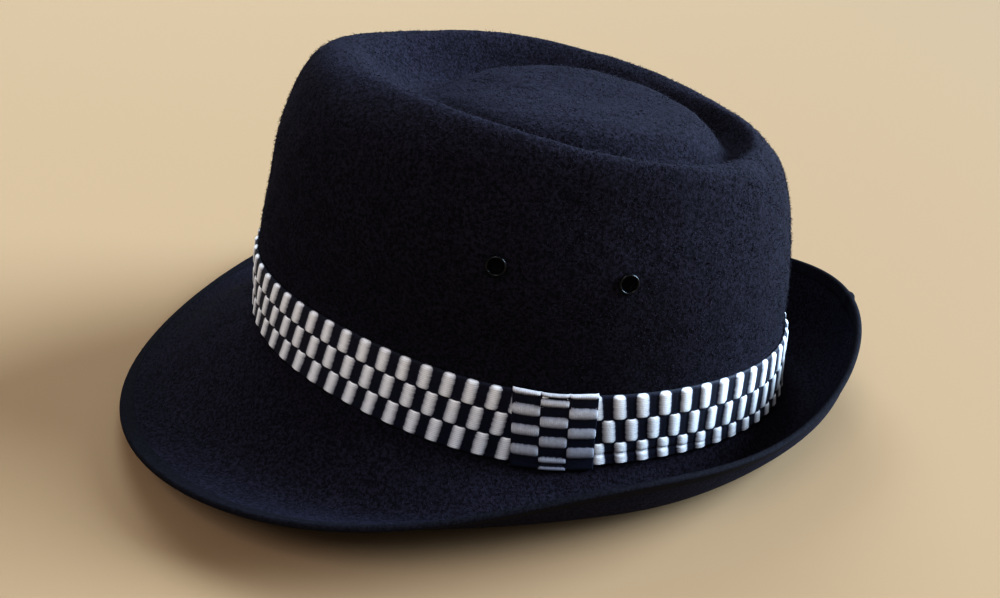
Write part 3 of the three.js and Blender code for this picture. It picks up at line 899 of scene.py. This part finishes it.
# %% Ribbon material
DULL_WHITE, CLEAN_WHITE = (0.8, 0.8, 0.82), (0.96, 0.96, 0.98)
# Painted shade: the grooves between threads are mixed towards the first grey. The ends of white checks go
# towards the second grey, partly for threads diving under and partly as painted shade.
GROOVE_SHADE_GREY, DIVING_AND_SHADE_GREY, GROOVE_SHADE_SHARE = (0.42, 0.42, 0.44), (0.13, 0.13, 0.16), 0.2
DEEP_BLACK, PALE_BLACK = (0.004, 0.005, 0.012), (0.012, 0.014, 0.032)
yarn = use_group(tree, mottle, Clumps_per_metre=900, Contrast=0.7)
thread_turn = math_node(tree, "MULTIPLY", across_ribbon, 2 * math.pi * THREADS_PER_CHECK)
thread_wave = math_node(tree, "COSINE", thread_turn)
# Painted shade in the grooves between threads.
groove = math_node(tree, "MULTIPLY_ADD", thread_wave, GROOVE_SHADE_SHARE, GROOVE_SHADE_SHARE)
white_yarn = mix_colour(tree, yarn.outputs["Fleck"], DULL_WHITE, CLEAN_WHITE)
groove_shaded_yarn = mix_colour(tree, groove, white_yarn, GROOVE_SHADE_GREY)
# Darker ends of white checks: threads diving under, plus painted shade on the pillow's flanks.
diving_and_shaded_yarn = mix_colour(tree, math_node(tree, "POWER", white_along, 2), groove_shaded_yarn, DIVING_AND_SHADE_GREY)
black_yarn = mix_colour(tree, yarn.outputs["Fleck"], DEEP_BLACK, PALE_BLACK)
ribbon_colour = mix_colour(tree, white.outputs["Result"], black_yarn, diving_and_shaded_yarn)
tree.links.new(ribbon_colour, shader.inputs["Base Color"])
set_inputs(shader, Roughness=0.65, Specular_IOR_Level=0.25, Sheen_Weight=0.05)
add_bump(tree, shader, yarn.outputs["Height"], strength=0.35, distance=0.3 * MM)
put_on(ribbon_finish, band)

# %% [markdown]
# ## Tab finish
#
# The tab's white yarn is darker than the band's. It is painted darker still towards its foot and its
# back edge, as painted shade where the tab turns under and away from the light. It could have a material
# of its own, but the weave is the same, so the ribbon's material is copied, and only the white yarn changes.

# %% A duller copy for the tab
# These shares paint shade into the tab's white yarn. It turns towards the grey below, more down the tab to
# its foot and across to its back edge.
SHADE_TO_FOOT, SHADE_TO_BACK, SHADE_START = 0.13, 0.15, 0.6
PAINTED_SHADE_GREY = (0.09, 0.1, 0.15)
white_yarn.node.name = "white yarn"
tab_finish = ribbon_finish.copy()
tab_finish.name = "chequered_ribbon_tab"
tree = tab_finish.node_tree
tab_yarn = tree.nodes["white yarn"]
set_inputs(tab_yarn, A=(0.46, 0.46, 0.5, 1), B=(0.7, 0.7, 0.74, 1))
groove_shade_input = tab_yarn.outputs["Result"].links[0].to_socket
along_tab, across_tab = tree.nodes["ribbon split"].outputs[:2]
# Painted shade, growing towards the tab's foot and its back edge.
towards_back = math_node(tree, "MULTIPLY_ADD", across_tab, SHADE_TO_BACK, -SHADE_START)
painted_shade = math_node(tree, "MULTIPLY_ADD", along_tab, SHADE_TO_FOOT, towards_back)
tree.links.new(mix_colour(tree, painted_shade, tab_yarn.outputs["Result"], PAINTED_SHADE_GREY), groove_shade_input)
put_on(tab_finish, tab)

# %% [markdown]
# ## Binding and metal finishes
#
# The binding is a plain ribbed ribbon. A Wave texture could draw its ribs, but they have to cross the
# ribbon all the way round, so they are a sine of the length along the edge. The vents are lacquered metal,
# smooth with faint scuffs. Their bores and screens are dull, so that they stay dark.

# %% Binding material
RIB_PITCH = 0.6
DEEP_BINDING, PALE_BINDING = (0.0055, 0.0052, 0.0076), (0.0125, 0.0118, 0.0175)
LINT_GREY = (0.05, 0.05, 0.05)
binding_finish, tree, shader = new_material("binding_ribbon")
along_edge, _ = ribbon_split(tree)
rib = math_node(tree, "SINE", math_node(tree, "MULTIPLY", along_edge, 2 * math.pi / RIB_PITCH))
yarn = use_group(tree, mottle, Clumps_per_metre=1100, Contrast=1.6)
specks = use_group(tree, lint, Specks_per_metre=160, Amount=0.02)
binding_yarn = mix_colour(tree, yarn.outputs["Fleck"], DEEP_BINDING, PALE_BINDING)
binding_colour = mix_colour(tree, specks.outputs["Speck"], binding_yarn, LINT_GREY)
tree.links.new(binding_colour, shader.inputs["Base Color"])
set_inputs(shader, Roughness=0.85, Specular_IOR_Level=0.1)
add_bump(tree, shader, rib, strength=0.12, distance=0.1 * MM)
put_on(binding_finish, binding)

# %% Vent material
DEEP_ENAMEL, PALE_ENAMEL = (0.002, 0.002, 0.003), (0.006, 0.006, 0.007)
SMOOTHEST, SCUFFED_MORE = 0.2, 0.2
enamel, tree, shader = new_material("black_enamel")
scuffs = use_group(tree, mottle, Clumps_per_metre=1500, Contrast=1.2)
enamel_colour = mix_colour(tree, scuffs.outputs["Fleck"], DEEP_ENAMEL, PALE_ENAMEL)
tree.links.new(enamel_colour, shader.inputs["Base Color"])
rough = math_node(tree, "MULTIPLY_ADD", scuffs.outputs["Fleck"], SCUFFED_MORE, SMOOTHEST)
_, profile_row = ribbon_split(tree)
in_the_bore = math_node(tree, "GREATER_THAN", profile_row, eyelet_rows - 2)
tree.links.new(math_node(tree, "MAXIMUM", rough, in_the_bore), shader.inputs["Roughness"])
set_inputs(shader, Specular_IOR_Level=0.3)
put_on(enamel, *vents)
print("materials:", [material.name for material in bpy.data.materials if material.users])

# %% [markdown]
# ## Floor, light and camera
#
# A plain pale floor and soft light keep the eye on the hat. One lamp would leave the dark felt without
# form, so three share the work. The main light is far and wide, on the side of the hat's back, like a
# window. A blue panel hangs high on the far side like the sky, and a nearly white one high on the camera's
# side. The contrast look deepens the darks. The camera stands close and low, a little over the brim, as a
# person kneeling with a camera would hold it.

# %% Floor
FLOOR_HALF, FLOOR_DROP = 12.0, 0.0002
floor_mesh = bpy.data.meshes.new("floor")
floor_corners = np.array([[-1, -1, 0], [1, -1, 0], [1, 1, 0], [-1, 1, 0]]) * FLOOR_HALF
floor_mesh.from_pydata(floor_corners - [0, 0, FLOOR_DROP], [], [[0, 1, 2, 3]])
floor = add_object("floor", floor_mesh)
floor_finish, tree, shader = new_material("pale_floor")
set_inputs(shader, Base_Color=(0.297, 0.203, 0.122, 1), Roughness=0.9, Specular_IOR_Level=0.1)
put_on(floor_finish, floor)

# %% Light
LIGHT_TARGET = Vector((0, 0, 0.05))
# Kind, place in metres, spread, strength and colour.
LIGHTS = {
    "window": ("SUN", (-1.8, 8.0, 3.85), math.radians(38), 10.4, (0.62, 0.81, 1.0)),
    "sky": ("AREA", (-1.8, -0.5, 2.3), 1.5, 54, (0.66, 0.85, 1.0)),
    "room": ("AREA", (1.3, -0.6, 2.4), 1.2, 27, (0.97, 0.95, 1.0)),
}


def add_light(name, kind, place_at, spread, strength, colour):
    """A lamp turned to the hat. Spread is a panel's side in metres, or the angle that a far light fills."""
    lamp = bpy.data.lights.new(name, kind)
    setattr(lamp, "angle" if kind == "SUN" else "size", spread)
    lamp.energy, lamp.color = strength, colour
    light = add_object(name, lamp)
    light.location = place_at
    light.rotation_euler = (LIGHT_TARGET - Vector(place_at)).to_track_quat("-Z", "Y").to_euler()


for name, settings in LIGHTS.items():
    add_light(name, *settings)
world = bpy.data.worlds.new("soft_room")
world.use_nodes = True
set_inputs(world.node_tree.nodes["Background"], Color=(0.92, 0.91, 0.9, 1), Strength=0.32)
scene.world = world
scene.view_settings.view_transform = "Standard"
scene.view_settings.look = "High Contrast"
print("lights:", list(LIGHTS))

# %% Camera
CAMERA_PLACE = Vector((280.9, 4.6 + AXIS_Y, 186.6)) * MM
HEADING, LOOK_DOWN, ROLL = math.radians(93.17), math.radians(29.15), math.radians(1.58)
LENS, SENSOR, NEAREST = 29.08, 36, 0.01
forward = Vector((-math.sin(HEADING), math.cos(HEADING), 0)) * math.cos(LOOK_DOWN)
forward.z = -math.sin(LOOK_DOWN)
level_right = Vector((math.cos(HEADING), math.sin(HEADING), 0))
right = level_right * math.cos(ROLL) + level_right.cross(forward) * math.sin(ROLL)
up = right.cross(forward)
camera = add_object("camera", bpy.data.cameras.new("camera"))
camera.data.lens, camera.data.sensor_width = LENS, SENSOR
camera.data.clip_start = NEAREST
camera.matrix_world = Matrix.Translation(CAMERA_PLACE) @ Matrix((right, up, -forward)).transposed().to_4x4()
scene.camera = camera
print("camera looks down", round(math.degrees(LOOK_DOWN), 1), "degrees")
